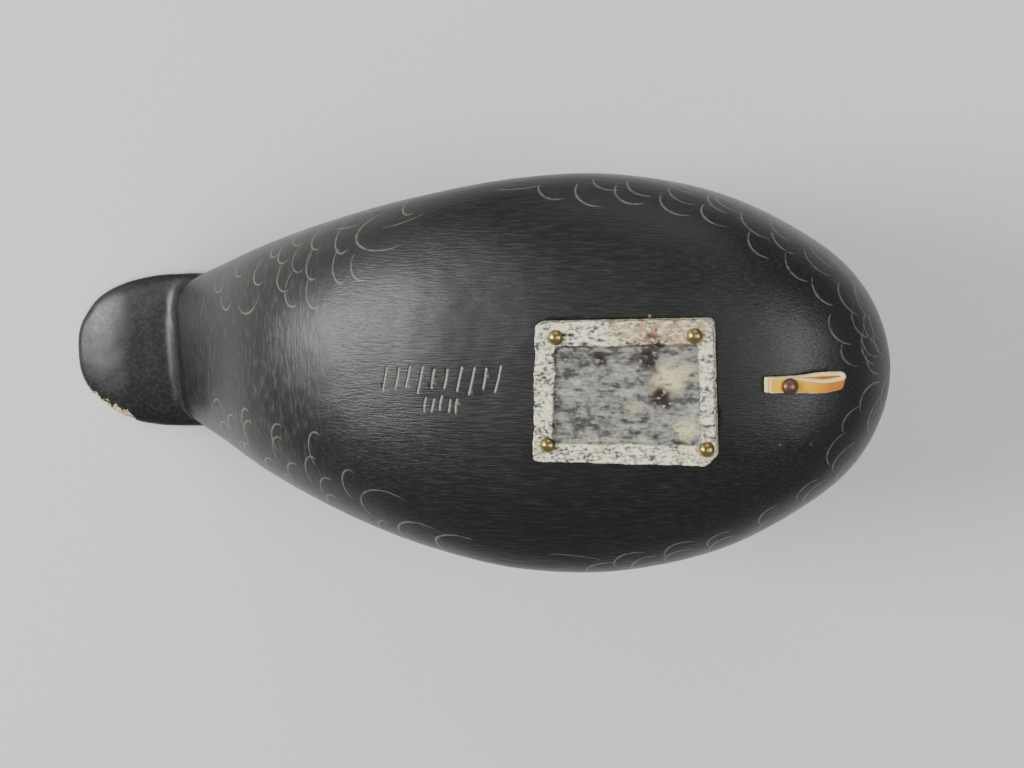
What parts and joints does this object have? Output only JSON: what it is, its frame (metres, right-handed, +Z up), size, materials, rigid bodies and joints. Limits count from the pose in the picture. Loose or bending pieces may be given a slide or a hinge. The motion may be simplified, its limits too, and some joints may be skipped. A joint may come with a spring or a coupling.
{
  "type": "miniature duck decoy carving",
  "caption": "Miniature carved and painted wooden duck decoy, lying on its back, with a pinned ballast plate and a line loop on its underside.",
  "frame": {"origin": "centre of the bounding box at the surface the duck lies on", "axes": "+X from the tail to the breast, +Y to the duck's right side, +Z up, the way its underside faces"},
  "size_m": [0.1506, 0.0667, 0.0686],
  "materials": {
    "black_paint": "satin",
    "head_paint": "satin",
    "lead": "rough",
    "pin_brass": "polished",
    "hide": "natural",
    "tack_bronze": "aged"
  },
  "bodies": {
    "root": {"body": "black_paint", "head": "head_paint", "ballast_plate": "lead", "plate_pin_1": "pin_brass", "plate_pin_2": "pin_brass", "plate_pin_3": "pin_brass", "plate_pin_4": "pin_brass", "line_loop": "hide", "loop_tack": "tack_bronze"}
  },
  "joints": []
}
